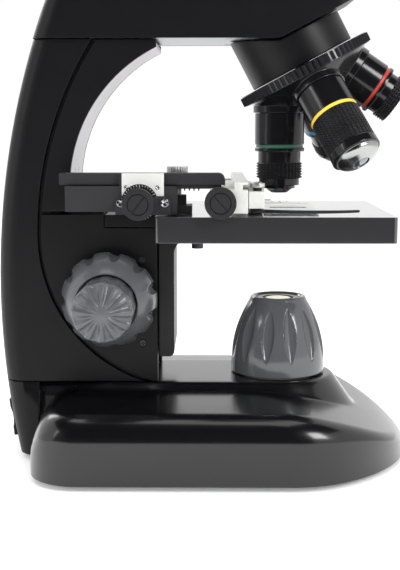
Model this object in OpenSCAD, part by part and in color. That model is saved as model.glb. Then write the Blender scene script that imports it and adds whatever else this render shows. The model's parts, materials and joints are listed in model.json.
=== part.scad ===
// Digital compound microscope with a screen head, drawn around its optical axis.
// +X is the user's right, +Y points away from the user, +Z is up and the table is at Z = 0.

/* [Overall] */
// Rearmost point of the arm, measured from the optical axis
back_y = -138.8; // [-139.5:0.1:-138]
// Front of the base, measured from the optical axis
front_y = 65; // [64:0.5:66]
// Half width across the fine focus knobs
half_w = 80; // [80:0.5:82]

/* [Base] */
// Height of the deck that carries the arm and the lamp
deck_z = 40; // [39.5:0.1:40.5]
// Half width of the deck
deck_half_w = 28; // [27.5:0.1:28.5]
// Half width of the base at its skirt
base_half_w = 78; // [77:0.5:78.5]
// Wall thickness of the moulded covers
wall = 2.8; // [2.4:0.1:3]
// Height of the rubber feet
foot_h = 3; // [3:0.1:3.4]

/* [Arm] */
// Radius of the arm's long back curve
back_r = 400; // [395:1:405]
// Height of the rearmost point of the back curve
back_mid_z = 85; // [83:1:87]
// Width of the shadow groove between the covers
groove_w = 1.8; // [1.4:0.1:2]
// Height where the arm meets the head
arm_top_z = 206; // [205.5:0.1:206.5]

/* [Focus] */
// Distance of the focus shaft behind the optical axis
focus_y = -83.2; // [-83.4:0.1:-83]
// Height of the focus shaft
focus_z = 82.3; // [82:0.1:82.6]
// Radius of the coarse knobs
coarse_r = 23.1; // [22:0.1:23.5]
// Radius of the fine knobs
fine_r = 14; // [13:0.1:14.4]
// Teeth on the focus pinion
focus_teeth = 18; // [18:1:18]

/* [Stage] */
// Width of the stage plate
stage_w = 110.8; // [109:0.1:111]
// Height of the stage's top face at rest
stage_top_z = 123.7; // [123.5:0.1:123.9]
// Thickness of the stage plate
stage_t = 12.2; // [12:0.05:12.4]
// Radius of the light opening in the stage
stage_bore_r = 10; // [9:0.5:11]

/* [Nosepiece] */
// Height of the point where all objective axes meet
apex_z = 216; // [215.5:0.1:216.5]
// Tilt of the nosepiece axis and cone angle of the objectives
nose_tilt = 28; // [27.5:0.1:28.5]
// Distance from that point to the objective seats
seat_d = 44.5; // [44.4:0.1:44.6]

/* [Screen] */
// Width of the screen housing
screen_w = 128; // [120:1:132]
// Height of the screen housing
screen_h = 88; // [84:1:92]
// Backward lean of the screen at rest
screen_lean = 30; // [25:1:35]

/* [Hidden] */
$fn = 96;

optic_y = -(back_y + front_y) / 2;
black = "#232326";
grey = "#5c5e62";
silver = "#c9cbcc";
brass = "#b08d4a";
back_c = [back_y + back_r, back_mid_z];
rear_corner_r = 10;
seam_mid_z = 112;
seam_low_c = [-42.5, seam_mid_z];
seam_low_r = 76;
seam_up_r = 175;
seam_up_c = [seam_low_c.x - seam_low_r + seam_up_r, seam_mid_z];
front_c = [-27.5, 135];
front_r = 75;
column_y = -60.5;
panel_split_z = 123.4;
skin = 3;
crown_z = 36.5;
dome_r = 160;
dome_c = [-25, crown_z - dome_r];
crown_r = 800;
wing_edge_r = 12;
wing_edge_z = 21.8;
plan_c_y = -20;
plan_r = front_y - plan_c_y;
wing_back_y = -120;
wing_corner_r = 25;
rear_drop_r = 18;
shell_z = 2.4;
plate_z = foot_h;
plate_t = 1.2;
flare = 9 / 13;
hood_r = 23.8;
hood_top_r = 14.6;
hood_z = deck_z + 0.4;
hood_top_z = 79.35;
hood_rise = hood_top_z - 2 - hood_z;
hood_lean = atan2(hood_r - hood_top_r, hood_rise);
hood_chord = norm([hood_rise, hood_r - hood_top_r]);
bulge_r = 62;
bulge_c = [(hood_r + hood_top_r) / 2, hood_z + hood_rise / 2]
    - sqrt(bulge_r * bulge_r - hood_chord * hood_chord / 4) * [cos(hood_lean), sin(hood_lean)];
flutes = 12;
flute_r = 3.2;
flute_d = 1.25;
flute_rise = 3;
foot_at = [[55, -98], [-55, -98], [50, 22], [-50, 22]];
boss_at = [[60, -78], [-60, -78], [54, 2], [-54, 2]];
frame_bolt_at = [[12, -108], [-12, -108], [12, -72], [-12, -72]];
cover_screw_at = [[-67.8, 100.5], [-67.7, 59.4]];
dimmer_at = [-69, -60];
frame_x = 20;
cheek_x = 16;
pinion_m = 0.8;
pinion_r = focus_teeth * pinion_m / 2;
rack_y = focus_y + pinion_r;
stage_z = stage_top_z - stage_t;
stage_y0 = -60.1;
stage_y1 = 51.8;
flange_t = 1.4;
disc_c = [0, 20];
disc_r = 28;
bar_x0 = 36;
bar_x1 = 44;
bar_z0 = 137.9;
bar_z1 = 143.4;
bar_y0 = -105.5;
bar_y1 = -27.8;
cross_axis = [-67.6, 129.9];
cross_m = 0.7;
cross_teeth = 16;
cross_r = cross_teeth * cross_m / 2;
long_axis = [-30, 130.5];
small_knob_r = 7.3;
rail_y0 = -23.6;
rail_y1 = -17.2;
rail_top_z = 139.8;
slide_z = stage_top_z + 0.2;
finger_pin = [44, -12.6];
clamp_at = [26, -50.6];
foot_screw_y = [-76.1, -55.8];
swivel_y = -36;
head_top_z = 262;
head_w = 31;
pivot_z = 276;

// Carries everything from the optical axis to the object's own origin
module on_axis() translate([0, optic_y, 0]) children();

// Outline drawn in Y and Z, extruded along X
module along_x(x0, x1) translate([x0, 0, 0]) rotate([90, 0, 90]) linear_extrude(x1 - x0) children();

// Outline drawn in X and Z, extruded along Y
module along_y(y0, y1) translate([0, y1, 0]) rotate([90, 0, 0]) linear_extrude(y1 - y0) children();

// Round bar along X
module rod_x(x0, x1, y, z, r) translate([x0, y, z]) rotate([0, 90, 0]) cylinder(h = x1 - x0, r = r);

// Plain block from its lowest to its highest corner
module block(a, b) translate(a) cube(b - a);

// Rectangle with round corners
module round_rect(a, b, r) {
    translate([a.x + r, a.y]) square([b.x - a.x - 2 * r, b.y - a.y]);
    translate([a.x, a.y + r]) square([b.x - a.x, b.y - a.y - 2 * r]);
    for (x = [a.x + r, b.x - r], y = [a.y + r, b.y - r]) translate([x, y]) circle(r);
}

// Both sides of the object
module both_sides() {
    children();
    mirror([1, 0, 0]) children();
}

// ---------------------------------------------------------------- base

// Plan of the wings, drawn in by i, with its straight sides moved out by spread
module wing_plan(i, spread = 0) {
    side = base_half_w - i + spread;
    intersection() {
        translate([0, plan_c_y]) circle(plan_r - i);
        translate([-side, plan_c_y]) square([2 * side, plan_r]);
    }
    translate([-side, wing_back_y + wing_corner_r])
        square([2 * side, plan_c_y - wing_back_y - wing_corner_r + 1]);
    translate([-base_half_w + wing_corner_r, wing_back_y + i])
        square([2 * (base_half_w - wing_corner_r), wing_corner_r]);
    for (s = [-1, 1]) translate([s * (base_half_w - wing_corner_r), wing_back_y + wing_corner_r])
        circle(wing_corner_r - i);
}

// Cross section of the wings with round shoulders
module wing_section(i) {
    intersection() {
        translate([0, crown_z - crown_r]) circle(crown_r - i, $fn = 720);
        union() {
            translate([-base_half_w + i, 0]) square([2 * (base_half_w - i), wing_edge_z]);
            translate([-base_half_w + wing_edge_r, 0]) square([2 * (base_half_w - wing_edge_r), crown_z]);
            for (s = [-1, 1]) translate([s * (base_half_w - wing_edge_r), wing_edge_z])
                circle(wing_edge_r - i);
        }
    }
}

// Long section of the wings: flat behind, falling in one arc to the front
module wing_fall(i) {
    intersection() {
        union() {
            translate(dome_c) circle(dome_r - i, $fn = 720);
            translate([wing_back_y + rear_drop_r, 0]) square([dome_c.x - wing_back_y - rear_drop_r, crown_z - i]);
            translate([wing_back_y + i, 0]) square([rear_drop_r, crown_z - rear_drop_r]);
            translate([wing_back_y + rear_drop_r, crown_z - rear_drop_r]) circle(rear_drop_r - i);
        }
        translate([wing_back_y + i, 0]) square([front_y - wing_back_y - 2 * i, 60]);
    }
}

module wings(i) intersection() {
    linear_extrude(60) wing_plan(i, 4);
    along_y(-200, 100) wing_section(i);
    along_x(-100, 100) wing_fall(i);
}

// Raised deck with flared sides and a round nose under the lamp
module deck(i) {
    top = deck_z - i;
    w = deck_half_w - i;
    low = 12;
    intersection() {
        union() {
            along_y(-119 + i, 0) polygon([
                [-w, top], [w, top], [w + (top - low) * flare, low], [-w - (top - low) * flare, low]
            ]);
            translate([0, 0, low]) cylinder(h = top - low, r1 = w + (top - low) * flare, r2 = w);
        }
        block([-base_half_w + 8, -200, 0], [base_half_w - 8, front_y - 9, 60]);
    }
    intersection() {
        arm_sweep(i);
        block([-deck_half_w, -150, 0], [deck_half_w, -80, top]);
    }
}

module base_outer(i) {
    wings(i);
    deck(i);
}

module base_shell() color(black) on_axis() difference() {
    base_outer(0);
    difference() {
        base_outer(wall);
        for (p = boss_at) translate([p.x, p.y, 0]) cylinder(h = 60, r = 4.5);
    }
    translate([0, 0, -1]) linear_extrude(shell_z + 1) square(400, center = true);
    translate([0, 0, -1]) linear_extrude(plate_z + plate_t + 1) plate_plan(0.3);
    for (p = boss_at) translate([p.x, p.y, 0]) cylinder(h = 16, r = 1.6);
    for (p = frame_bolt_at) translate([p.x, p.y, 0]) cylinder(h = 60, r = 2.7);
    translate([0, 0, 30]) cylinder(h = 20, r = 4);
    block([3.9, -145, 9.9], [18.1, -125, 30.1]);
    translate([-11, -125, 20]) rotate([90, 0, 0]) cylinder(h = 20, r = 5.1);
    block([-90, -72, 12.4], [-60, -48, 19.6]);
}

// Outline of the bottom plate, c smaller than its pocket
module plate_plan(c) {
    wing_plan(wall + 0.5 - c);
    translate([-deck_half_w + wall + 0.5 - c, -126 - c])
        square([2 * (deck_half_w - wall - 0.5 + c), 20]);
}

module bottom_plate() color("#777a7d") on_axis() difference() {
    translate([0, 0, plate_z]) linear_extrude(plate_t) plate_plan(0);
    for (p = boss_at) translate([p.x, p.y, 0]) cylinder(h = 10, r = 1.9);
    for (p = frame_bolt_at) translate([p.x, p.y, 0]) cylinder(h = 10, r = 6);
    for (x = [-24 : 8 : 24]) block([x - 1.5, -50, 0], [x + 1.5, -24, 10]);
}

module rubber_feet() color("#1a1a1a") on_axis() for (p = foot_at) translate([p.x, p.y, 0]) difference() {
    union() {
        cylinder(h = 1, r1 = 8, r2 = 9);
        translate([0, 0, 1]) cylinder(h = foot_h - 1, r = 9);
    }
    translate([0, 0, -1]) cylinder(h = 2.2, r = 3);
}

module bottom_screws() color(silver) on_axis() {
    for (p = boss_at) translate([p.x, p.y, plate_z - 1.6]) difference() {
        union() {
            cylinder(h = 1.6, r = 3);
            cylinder(h = 12, r = 1.5);
        }
        for (a = [0, 90]) rotate(a) block([-2, -0.4, -1], [2, 0.4, 0.9]);
    }
    for (p = frame_bolt_at) translate([p.x, p.y, 0]) {
        translate([0, 0, deck_z - wall - 4]) cylinder(h = 3.9, r = 4.4);
        translate([0, 0, deck_z - wall - 0.2]) cylinder(h = wall + 8, r = 2.5);
    }
}

module led_board() color("#d8d8d2") on_axis() {
    translate([0, 0, deck_z + 0.05]) cylinder(h = 3, r = 17);
    translate([0, 0, deck_z + 3.05]) cylinder(h = 1.5, r = 5);
    translate([0, 0, deck_z + 4.55]) intersection() {
        sphere(4);
        cylinder(h = 5, r = 5);
    }
}

module lamp_lens() color("#dfe8ea") on_axis() intersection() {
    translate([0, 0, 71.4]) cylinder(h = 8, r = 8.4);
    translate([0, 0, 63]) sphere(13.8, $fn = 160);
}

// Lamp hood profile: a bulge of straight cones that leans in towards the top, drawn in by i
module hood_profile(i) {
    low = asin((hood_z - bulge_c.y) / bulge_r);
    high = asin((hood_z + hood_rise - bulge_c.y) / bulge_r);
    steps = 8;
    polygon(concat(
        [[0, hood_z]],
        [for (k = [0 : steps]) let (t = low + (high - low) * k / steps)
            [bulge_c.x + bulge_r * cos(t) - i, bulge_c.y + bulge_r * sin(t)]],
        [[hood_top_r - 0.7 - i, hood_top_z], [0, hood_top_z]]
    ));
}

module lamp_hood() color(grey) on_axis() difference() {
    rotate_extrude() hood_profile(0);
    rotate_extrude() intersection() {
        hood_profile(2.6);
        translate([0, 30]) square([60, 70.9 - 30]);
    }
    translate([0, 0, 70.8]) cylinder(h = 20, r = 11.2);
    translate([0, 0, 30]) cylinder(h = 40, r = 8.8);
    for (a = [0 : flutes - 1]) rotate(a * 360 / flutes + 13.5) translate([bulge_c.x, 0, bulge_c.y])
        rotate([0, -hood_lean - flute_rise, 0]) translate([bulge_r + flute_r - flute_d, 0, 0])
            cylinder(h = 36, r = flute_r, center = true);
}

module hood_ring() color(black) on_axis() translate([0, 0, 70.9]) difference() {
    cylinder(h = 7.3, r = 11.1);
    translate([0, 0, 0.5]) cylinder(h = 8, r = 8.5);
    translate([0, 0, -1]) cylinder(h = 6, r = 7.4);
}

// Rocker that tips about X in the rear wall
module power_switch() color("#303033") on_axis() translate([11, -129.5, 20]) {
    rotate([7, 0, 0]) difference() {
        block([-6.8, -5.4, -9.4], [6.8, 0, 9.4]);
        rod_x(-8, 8, -22.2, 0, 17.6);
    }
    rod_x(-7, 7, 0, 0, 2.6);
}

module dimmer_wheel() color(grey) on_axis() translate([dimmer_at.x, dimmer_at.y, 12.9]) difference() {
    cylinder(h = 6.2, r = 10.5);
    for (a = [0 : 15 : 345]) rotate(a) translate([10.9, 0, -1]) cylinder(h = 9, r = 0.7);
    translate([0, 0, -1]) cylinder(h = 9, r = 2.05);
}

module dc_inlet() color("#151515") on_axis() translate([-11, -133.9, 20]) rotate([-90, 0, 0]) {
    difference() {
        union() {
            cylinder(h = 14, r = 5);
            translate([0, 0, 8]) cylinder(h = 2, r = 6.5);
        }
        translate([0, 0, -1]) cylinder(h = 10.5, r = 2.75);
    }
    cylinder(h = 10, r = 0.9);
}

module driver_board() color("#1f5a3a") on_axis() {
    block([-74, -65.1, 6.2], [-30, -36, 7.8]);
    translate([dimmer_at.x, dimmer_at.y, 7.8]) cylinder(h = 4.6, r = 5.8);
    translate([dimmer_at.x, dimmer_at.y, 7.8]) cylinder(h = 11, r = 2);
    block([-58, -62, 7.8], [-48, -50, 12.4]);
    for (y = [-60 : 8 : -44]) translate([-38, y, 7.8]) cylinder(h = 9, r = 3);
}

// ---------------------------------------------------------------- arm

// Long back curve with round rear corners for a body of half width w, drawn in by i
module arm_sweep(i, w = deck_half_w) {
    depth = 165;
    translate([0, back_c.x, back_c.y]) rotate([0, 90, 0]) rotate(222)
        rotate_extrude(angle = 74, $fn = 720) {
            translate([back_r - depth, -w + i]) square([depth - rear_corner_r, 2 * (w - i)]);
            translate([back_r - 2 * rear_corner_r, -w + rear_corner_r])
                square([2 * rear_corner_r - i, 2 * (w - rear_corner_r)]);
            for (s = [-1, 1]) translate([back_r - rear_corner_r, s * (w - rear_corner_r)])
                circle(rear_corner_r - i);
        }
}

// Side outline of the arm from the deck to the head
module arm_outline(z0, z1) {
    intersection() {
        difference() {
            translate([-150, 0]) square([150 + column_y, 300]);
            intersection() {
                translate(front_c) circle(front_r, $fn = 360);
                translate([front_c.x - front_r, panel_split_z]) square(2 * front_r);
            }
            translate([front_c.x - front_r, panel_split_z]) square([60, front_c.y - panel_split_z]);
        }
        translate([-150, z0]) square([150, z1 - z0]);
    }
}

// Everything in front of the seam, drawn in by i
module seam_side(i) {
    intersection() {
        translate(seam_low_c) circle(seam_low_r - i, $fn = 360);
        translate([-150, 0]) square([150, seam_mid_z]);
    }
    intersection() {
        translate(seam_up_c) circle(seam_up_r - i, $fn = 720);
        translate([-150, seam_mid_z - 0.01]) square([150, 150]);
    }
}

module rear_shell() color(black) on_axis() {
    difference() {
        intersection() {
            arm_sweep(0);
            along_x(-deck_half_w, deck_half_w) difference() {
                arm_outline(deck_z + 0.4, arm_top_z);
                seam_side(0);
            }
        }
        arm_sweep(wall);
    }
    both_sides() along_x(deck_half_w - skin - 3, deck_half_w - skin - 0.1) difference() {
        intersection() {
            arm_outline(deck_z + 0.4, arm_top_z);
            seam_side(0);
        }
        seam_side(6);
        translate([column_y - 2.3, 0]) square([10, panel_split_z]);
    }
    both_sides() intersection() {
        arm_sweep(wall);
        along_x(deck_half_w - skin - 3, deck_half_w - wall + 0.01) difference() {
            arm_outline(deck_z + 0.4, arm_top_z);
            seam_side(0);
            translate([-3, 0]) seam_side(0);
        }
    }
}

module arm_cover() along_x(deck_half_w - skin, deck_half_w) intersection() {
    arm_outline(panel_split_z + 0.8, arm_top_z);
    seam_side(groove_w);
}

module arm_cover_right() color(black) on_axis() arm_cover();

module arm_cover_left() color(black) on_axis() mirror([1, 0, 0]) arm_cover();

module front_strip() color("#c8c6c8") on_axis() {
    half = deck_half_w - skin - 0.1;
    difference() {
        along_x(-half, half) intersection() {
            arm_outline(panel_split_z + 0.8, arm_top_z);
            union() {
                translate(front_c) circle(front_r + 2, $fn = 360);
                translate([front_c.x - front_r - 2, panel_split_z]) square([60, front_c.y - panel_split_z]);
            }
        }
        for (s = [-1, 1]) translate([s * 8, -110, 143]) rotate([-90, 0, 0]) cylinder(h = 20, r = 1.6);
    }
}

// Column of the focus housing as one half, before mirroring
module focus_cover() {
    difference() {
        union() {
            along_x(deck_half_w - skin, deck_half_w) difference() {
                intersection() {
                    arm_outline(deck_z + 0.4, panel_split_z - 0.8);
                    seam_side(groove_w);
                }
                translate([-86.2, 116.2]) square([60, 20]);
            }
            block([18, column_y - 2, deck_z + 0.4], [deck_half_w - skin, column_y, 116]);
            block([0.05, -104, panel_split_z - 3], [deck_half_w - skin, -86.4, panel_split_z + 0.5]);
        }
        rod_x(20, 40, focus_y, focus_z, 9);
        for (p = cover_screw_at) rod_x(20, 40, p.x, p.y, 1.1);
        for (p = cover_screw_at) rod_x(26.4, 40, p.x, p.y, 1.9);
    }
}

module focus_cover_right() color(black) on_axis() focus_cover();

module focus_cover_left() color(black) on_axis() mirror([1, 0, 0]) focus_cover();

module cover_screws() color("#3a3a3c") on_axis() {
    both_sides() for (p = cover_screw_at) difference() {
        union() {
            rod_x(26.5, 27.6, p.x, p.y, 1.7);
            rod_x(20.1, 27, p.x, p.y, 1);
        }
        for (a = [0, 90]) translate([27.6, p.x, p.y]) rotate([a, 0, 0]) cube([1.2, 0.5, 2.2], center = true);
    }
    for (s = [-1, 1]) translate([s * 8, -103.4, 143]) rotate([-90, 0, 0]) cylinder(h = 1, r = 1.5);
}

module column_cap() color(black) on_axis() {
    difference() {
        block([-deck_half_w, -85.9, 116.5], [deck_half_w, column_y, panel_split_z - 0.8]);
        block([-deck_half_w + 3, -83, 115], [deck_half_w - 3, column_y - 2, 119.6]);
    }
}

module arm_frame() color("#6d6f72") on_axis() {
    difference() {
        union() {
            block([-frame_x, -114, deck_z + 0.5], [frame_x, -64, deck_z + 6]);
            both_sides() block([cheek_x, -100, deck_z + 6], [frame_x, -64, 116]);
            block([-frame_x, -112, deck_z + 6], [frame_x, -93, 116]);
        }
        rod_x(-30, 30, focus_y, focus_z, 8.6);
        for (p = frame_bolt_at) translate([p.x, p.y, 30]) cylinder(h = 30, r = 2.6);
        both_sides() for (p = cover_screw_at) rod_x(19.9, 30, p.x, p.y, 1.1);
    }
    difference() {
        intersection() {
            arm_sweep(8);
            along_x(-12, 12) difference() {
                arm_outline(115.9, arm_top_z);
                translate(front_c) circle(front_r + 6, $fn = 360);
                translate([-112, 100]) square([60, front_c.y - 100]);
            }
        }
        for (z = [130 : 22 : 190]) rod_x(-20, 20, -119 + (z - 130) * 0.28, z, 3);
    }
}

module guide_rails() color(silver) on_axis() both_sides() block([12.3, -71, 48], [cheek_x, -67, 115]);

module shaft_bushes() color(brass) on_axis() both_sides() difference() {
    union() {
        rod_x(15, 22, focus_y, focus_z, 8.55);
        rod_x(20.05, 22.5, focus_y, focus_z, 10.5);
    }
    rod_x(10, 30, focus_y, focus_z, 5.05);
}

// ---------------------------------------------------------------- focus drive

// Spur teeth around X; a tooth points to +Y at rest
module pinion(x0, x1, y, z, r, m, teeth, phase) {
    rod_x(x0, x1, y, z, r - 0.95 * m);
    translate([0, y, z]) for (i = [0 : teeth - 1]) rotate([phase + i * 360 / teeth, 0, 0])
        along_x(x0, x1) polygon([
            [r - 1.3 * m, -0.62 * m], [r + 0.75 * m, -0.3 * m],
            [r + 0.75 * m, 0.3 * m], [r - 1.3 * m, 0.62 * m]
        ]);
}

module coarse_shaft() color(silver) on_axis() difference() {
    union() {
        rod_x(-44, 44, focus_y, focus_z, 5);
        pinion(-5, 5, focus_y, focus_z, pinion_r, pinion_m, focus_teeth, 0);
    }
    rod_x(-50, 50, focus_y, focus_z, 3.05);
}

// Coarse knob: broad scalloped rim that narrows to a collar round the fine knob
module coarse_knob() {
    translate([29.2, focus_y, focus_z]) rotate([0, 90, 0]) difference() {
        rotate_extrude() difference() {
            union() {
                intersection() {
                    translate([coarse_r - 10.5, 8]) circle(10.5);
                    square([coarse_r, 9]);
                }
                square([coarse_r - 10, 20]);
                intersection() {
                    translate([-9.2, 4]) circle(32.4, $fn = 180);
                    translate([0, 8]) square([coarse_r, 19.5]);
                }
            }
            translate([0, -1]) square([5, 40]);
            translate([0, 18]) square([14.6, 20]);
        }
        for (a = [0 : 10]) rotate(a * 360 / 11 + 8) translate([coarse_r + 1.9, 0, -1]) cylinder(h = 30, r = 3.4);
    }
}

module coarse_knob_right() color(grey) on_axis() coarse_knob();

module coarse_knob_left() color(grey) on_axis() mirror([1, 0, 0]) coarse_knob();

module fine_shaft() color(silver) on_axis() {
    rod_x(-62, 62, focus_y, focus_z, 3);
}

// Fine knob: fluted dome
module fine_knob() {
    translate([47.6, focus_y, focus_z]) rotate([0, 90, 0]) difference() {
        rotate_extrude() difference() {
            intersection() {
                union() {
                    square([fine_r, 20]);
                    translate([0, half_w - 47.6 - 22]) intersection() {
                        circle(22, $fn = 180);
                        translate([0, 5]) square([fine_r, 22]);
                    }
                }
                square([fine_r, half_w - 47.6]);
            }
            translate([0, -1]) square([3, 15.4]);
        }
        for (a = [0 : 11]) rotate(a * 30 + 15) translate([fine_r, 0, 28.8]) rotate([0, -58, 0])
            translate([0, 0, -8]) cylinder(h = 22, r = 2.8);
    }
}

module fine_knob_right() color(grey) on_axis() fine_knob();

module fine_knob_left() color(grey) on_axis() mirror([1, 0, 0]) fine_knob();

module lift_block() color("#8a8c8f") on_axis() difference() {
    union() {
        block([-13.4, rack_y + 3.2, 58], [13.4, -62.6, 112]);
        block([-4.5, rack_y + 0.75, 58], [4.5, rack_y + 3.3, 112]);
        for (i = [-9 : 10]) translate([0, rack_y, focus_z + (i + 0.5) * PI * pinion_m]) along_x(-4.5, 4.5)
            polygon([
                [-0.7 * pinion_m, -0.3 * pinion_m], [1.1 * pinion_m, -0.62 * pinion_m],
                [1.1 * pinion_m, 0.62 * pinion_m], [-0.7 * pinion_m, 0.3 * pinion_m]
            ]);
    }
    both_sides() block([12, -71.4, 50], [14, -66.6, 120]);
    block([-5.3, -66.4, 50], [5.3, -60, 120]);
}

// ---------------------------------------------------------------- stage

module stage_carrier() color(black) on_axis() {
    fillet_r = 7;
    front = -52.4;
    back = -59.9;
    difference() {
        along_x(-24, 24) difference() {
            union() {
                translate([back, 54.6]) square([front - back, stage_z - 54.6 - flange_t]);
                translate([back, 52]) square([front - back - 2.6, 10]);
                translate([front - 2.6, 54.6]) circle(2.6);
                translate([back, stage_z - flange_t]) square([-34.4 - back, flange_t - 0.05]);
                translate([front, stage_z - flange_t - fillet_r]) square(fillet_r);
            }
            translate([front + fillet_r, stage_z - flange_t - fillet_r]) circle(fillet_r);
        }
        for (s = [-1, 1]) translate([s * 16, -41, 100]) cylinder(h = 20, r = 2.1);
    }
    block([-5, -66, 62], [5, back, 108]);
}

module stage_plate() color("#2a2a2d") on_axis() difference() {
    translate([0, 0, stage_z]) linear_extrude(stage_t)
        round_rect([-stage_w / 2, stage_y0], [stage_w / 2, stage_y1], 2);
    translate([0, 0, stage_z - 1]) cylinder(h = 20, r = stage_bore_r);
    translate([disc_c.x, disc_c.y, stage_z - 1]) cylinder(h = 5.2, r = disc_r + 0.8);
    translate([disc_c.x, disc_c.y, stage_z - 1]) cylinder(h = 9, r = 1.6);
    for (s = [-1, 1]) translate([s * 16, -41, stage_z - 1]) cylinder(h = 8, r = 1.6);
}

module stage_screws() color("#303033") on_axis() {
    for (s = [-1, 1]) translate([s * 16, -41, 0]) {
        translate([0, 0, stage_z - flange_t - 5]) cylinder(h = 4.95, r = 2.9);
        translate([0, 0, stage_z - flange_t - 0.2]) cylinder(h = 7, r = 1.5);
    }
    translate([disc_c.x, disc_c.y, 0]) {
        translate([0, 0, stage_z - 1]) cylinder(h = 1.4, r = 4);
        translate([0, 0, stage_z]) cylinder(h = 7, r = 1.5);
    }
}

module condenser_lens() color("#dfe8ea") on_axis() intersection() {
    translate([0, 0, stage_z + 5]) cylinder(h = 5, r = stage_bore_r - 0.05);
    translate([0, 0, stage_z - 3]) sphere(12.6, $fn = 160);
}

module diaphragm_disc() color("#151515") on_axis() translate([disc_c.x, disc_c.y, stage_z + 0.7]) difference() {
    cylinder(h = 2.6, r = disc_r);
    translate([0, 0, -1]) cylinder(h = 5, r = 1.58);
    translate([0, 0, -1]) cylinder(h = 1.2, r = 4.5);
    for (i = [0 : 5]) rotate(i * 60 - 90) translate([disc_c.y, 0, -1]) cylinder(h = 5, r = 7.4 - 1.1 * i);
}

// ---------------------------------------------------------------- mechanical stage

// Fixed casting: rear channel, lug block round the pinion and a foot clamped to the stage
module slide_guide() color("#2c2c2e") on_axis() {
    difference() {
        union() {
            block([bar_x0 - 2.4, -102.5, 125.5], [bar_x1 + 3, -77, 137.5]);
            along_x(bar_x0 - 2.4, bar_x1 + 3) translate([-77.1, 124.3]) square([23.1, 13.2]);
            block([bar_x1 + 0.4, -77, 137], [bar_x1 + 3, -56, 143]);
            block([bar_x0 - 2.4, -77, 137], [bar_x0 - 0.4, -56, 143]);
            block([bar_x0 - 2.4, -55.2, 124.3], [bar_x1 + 3, -50.2, 137.5]);
            along_x(bar_x1 + 3, bar_x1 + 6) union() {
                for (y = foot_screw_y) translate([y, 130]) circle(2.7);
                translate([foot_screw_y[0], 124.3]) square([foot_screw_y[1] - foot_screw_y[0], 8.4]);
                for (y = foot_screw_y) translate([y - 2.7, 124.3]) square([5.4, 5.7]);
            }
        }
        rod_x(bar_x0 + 1.4, bar_x1 - 1.4, cross_axis.x, cross_axis.y, 7);
        block([bar_x0 + 1.4, cross_axis.x - 7, cross_axis.y], [bar_x1 - 1.4, cross_axis.x + 7, 140]);
        block([bar_x0 + 1.4, -103.5, 134.6], [bar_x1 - 1.4, -40, 140]);
        rod_x(30, 60, cross_axis.x, cross_axis.y, 2.55);
    }
    block([18, -55.2, 124], [bar_x0 - 2.3, -43.5, 127.4]);
    difference() {
        translate([clamp_at.x, clamp_at.y, 127.3]) cylinder(h = 5, r = 4.4);
        translate([clamp_at.x, clamp_at.y, 127]) cylinder(h = 8, r = 2.05);
    }
}

module guide_plate() color(silver) on_axis() difference() {
    block([bar_x1 + 3.05, -75.8, 132.9], [bar_x1 + 4.3, -56.2, 143.6]);
    rod_x(40, 60, cross_axis.x, cross_axis.y, 8.6);
    for (y = [-73.8, -59.2]) rod_x(40, 60, y, 136.9, 1.1);
}

module guide_screws() color("#b9bbbd") on_axis() {
    for (y = [-73.8, -59.2]) difference() {
        rod_x(bar_x1 + 3.1, bar_x1 + 4.5, y, 136.9, 1.05);
        for (a = [0, 90]) translate([bar_x1 + 4.5, y, 136.9]) rotate([a, 0, 0]) cube([0.5, 0.3, 1.4], center = true);
    }
    for (y = foot_screw_y) difference() {
        rod_x(bar_x1 + 6.02, bar_x1 + 7.4, y, 130, 1.9);
        for (a = [45, 135]) translate([bar_x1 + 7.4, y, 130]) rotate([a, 0, 0]) cube([1.2, 0.5, 2.6], center = true);
    }
}

module clamp_screw() color(silver) on_axis() translate([clamp_at.x, clamp_at.y, 0]) {
    translate([0, 0, 127.45]) cylinder(h = 15.4, r = 2);
    difference() {
        translate([0, 0, 142.7]) cylinder(h = 3.2, r = 5.1);
        for (a = [0 : 15 : 345]) rotate(a) translate([5.3, 0, 142]) cylinder(h = 5, r = 0.45);
    }
}

// Bar that carries the cross travel, with its rack underneath
module cross_bar() color("#2c2c2e") on_axis() {
    pitch = PI * cross_m;
    rack_z = cross_axis.y + cross_r;
    along_x(bar_x0, bar_x1) difference() {
        translate([bar_y0, bar_z0]) square([bar_y1 - bar_y0, bar_z1 - bar_z0]);
        translate([bar_y1 - 3, bar_z1 - 3]) difference() {
            square(4);
            circle(3);
        }
    }
    along_x(bar_x0 + 1.8, bar_x1 - 1.8) {
        translate([bar_y0 + 6, rack_z + 0.75 * cross_m]) square([70, bar_z0 - rack_z]);
        for (i = [-13 : 12]) translate([cross_axis.x + (i + 0.5) * pitch, rack_z]) polygon([
            [-0.62 * cross_m, 1.1 * cross_m], [-0.3 * cross_m, -0.7 * cross_m],
            [0.3 * cross_m, -0.7 * cross_m], [0.62 * cross_m, 1.1 * cross_m]
        ]);
    }
}

// Small knob with a fluted skirt and a coin slot
module small_knob(y, z, slot) {
    difference() {
        union() {
            rod_x(56.6, 62, y, z, small_knob_r);
            rod_x(54.6, 57, y, z, small_knob_r - 0.8);
        }
        translate([0, y, z]) for (a = [0 : 10 : 350]) rotate([a, 0, 0]) rod_x(57.4, 61.2, small_knob_r + 0.15, 0, 0.4);
        difference() {
            rod_x(61.2, 63, y, z, 5);
            rod_x(61, 63, y, z, 4.5);
        }
        translate([62, y, z]) rotate([slot, 0, 0]) cube([1.4, 0.9, 9.6], center = true);
    }
}

module cross_knob() color("#39393b") on_axis() {
    small_knob(cross_axis.x, cross_axis.y, -38);
    rod_x(33, 55, cross_axis.x, cross_axis.y, 2.5);
    pinion(bar_x0 + 1.8, bar_x1 - 1.8, cross_axis.x, cross_axis.y, cross_r, cross_m, cross_teeth, 0);
}

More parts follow.
